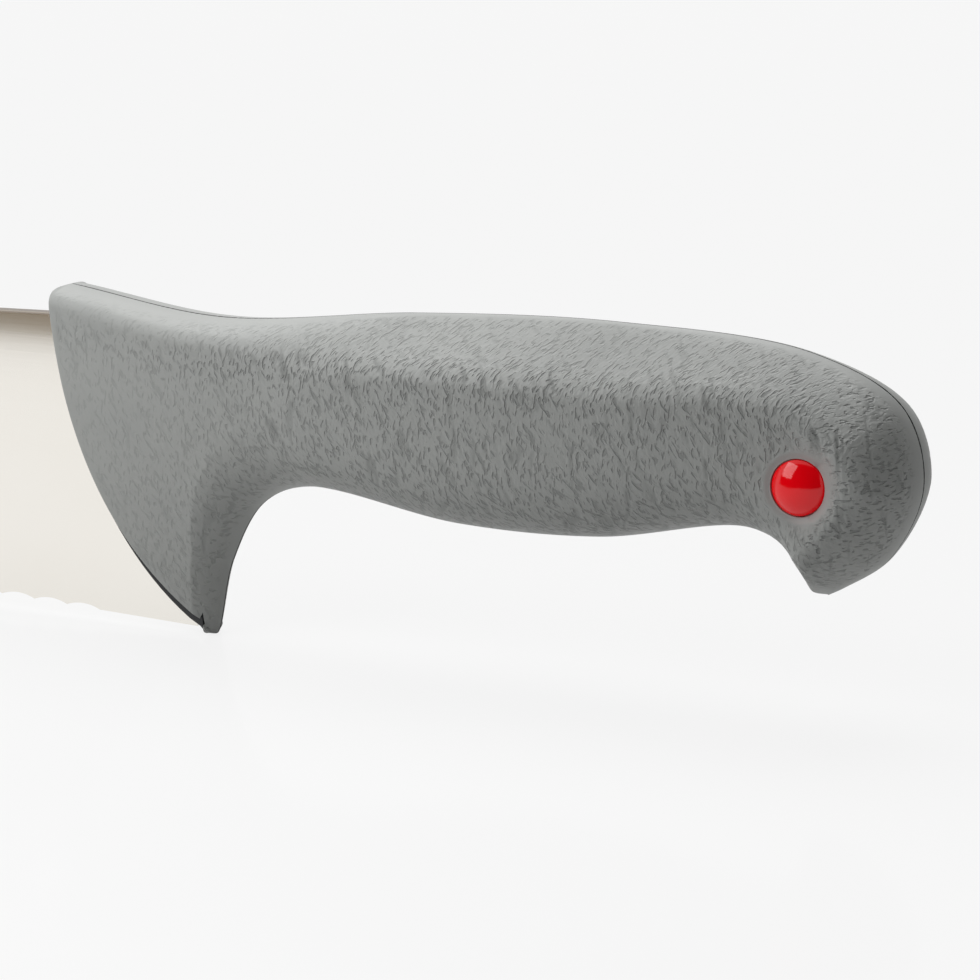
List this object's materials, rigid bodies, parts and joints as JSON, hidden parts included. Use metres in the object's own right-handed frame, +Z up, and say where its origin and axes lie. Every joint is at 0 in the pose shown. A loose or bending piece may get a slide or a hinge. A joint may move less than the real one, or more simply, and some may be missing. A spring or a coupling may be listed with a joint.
{
  "type": "fish knife",
  "caption": "Long fish knife with a scalloped steel blade, a moulded grey handle with a deep finger guard and a beak pommel, and red pull-out code plugs.",
  "frame": {"origin": "on the floor under the middle of the knife's length, in the plane of the blade, with the knife standing edge down on its guard foot", "axes": "+X from the blade's tip to the handle's butt, +Y from the flat side of the blade to its ground side, +Z up from the edge to the spine"},
  "size_m": [0.4286, 0.022, 0.0528],
  "materials": {
    "polished_steel": "fine-ground stainless steel, polished lengthwise",
    "core_plastic": "plain dark moulded plastic",
    "grained_plastic": "grey moulded plastic with a leather-like grain",
    "plug_plastic": "glossy signal red"
  },
  "bodies": {
    "knife": {"blade": "polished_steel", "tang_core": "core_plastic", "handle_near_half": "grained_plastic", "handle_far_half": "grained_plastic"},
    "near_plug": {"code_plug_near": "plug_plastic"},
    "far_plug": {"code_plug_far": "plug_plastic"}
  },
  "joints": [
    {"name": "near_plug_pull", "type": "slide", "parent": "knife", "child": "near_plug", "axis": [0, -1, 0], "range_m": [0, 0.014]},
    {"name": "far_plug_pull", "type": "slide", "parent": "knife", "child": "far_plug", "axis": [0, 1, 0], "range_m": [0, 0.014]}
  ]
}
